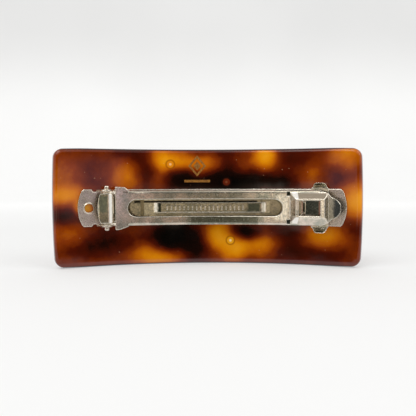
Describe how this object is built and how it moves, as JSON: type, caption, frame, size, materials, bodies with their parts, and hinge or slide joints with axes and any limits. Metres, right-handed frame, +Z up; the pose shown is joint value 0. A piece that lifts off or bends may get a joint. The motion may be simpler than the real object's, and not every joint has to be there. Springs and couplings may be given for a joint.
{
  "type": "hair barrette",
  "caption": "Curved tortoiseshell acetate barrette with a nickelled steel French clip: hinged clamp arm, bowed tension bar and squeeze clasp.",
  "frame": {"origin": "bottom centre of the whole barrette's box, where the plate stands on its long edge", "axes": "+X along the plate's length towards the clasp, +Z up across the plate's height, the clip faces -Y"},
  "size_m": [0.0896, 0.0171, 0.0348],
  "materials": {
    "tortoiseshell_acetate": "polished cellulose acetate, mottled amber, brown and near black",
    "clear_adhesive": "thin hardened adhesive",
    "nickelled_steel": "bright nickel over pressed steel sheet, lightly scuffed",
    "spring_steel": "nickelled spring strip",
    "pin_steel": "bright drawn wire, ends upset"
  },
  "bodies": {
    "plate": {"acetate_plate": "tortoiseshell_acetate", "adhesive_pad_hinge_end": "clear_adhesive", "adhesive_pad_clasp_end": "clear_adhesive", "base_bar": "nickelled_steel", "hinge_pin": "pin_steel", "tension_bar": "spring_steel", "clasp_saddle": "spring_steel"},
    "arm": {"clamp_arm": "nickelled_steel"},
    "tab_upper": {"squeeze_tab_upper": "spring_steel"},
    "tab_lower": {"squeeze_tab_lower": "spring_steel"}
  },
  "joints": [
    {"name": "arm_hinge", "type": "hinge", "parent": "plate", "child": "arm", "pos_m": [-0.02927, -0.00243, 0.0174], "axis": [0, 0, -1], "range_deg": [0, 95]},
    {"name": "upper_tab_flex", "type": "hinge", "parent": "plate", "child": "tab_upper", "pos_m": [0.03298, -0.00196, 0.0201], "axis": [0.9349, -0.3549, 0], "range_deg": [0, 8], "stiffness_Nm_per_rad": 0.06},
    {"name": "lower_tab_flex", "type": "hinge", "parent": "plate", "child": "tab_lower", "pos_m": [0.03298, -0.00196, 0.0147], "axis": [-0.9349, 0.3549, 0], "range_deg": [0, 8], "stiffness_Nm_per_rad": 0.06}
  ]
}
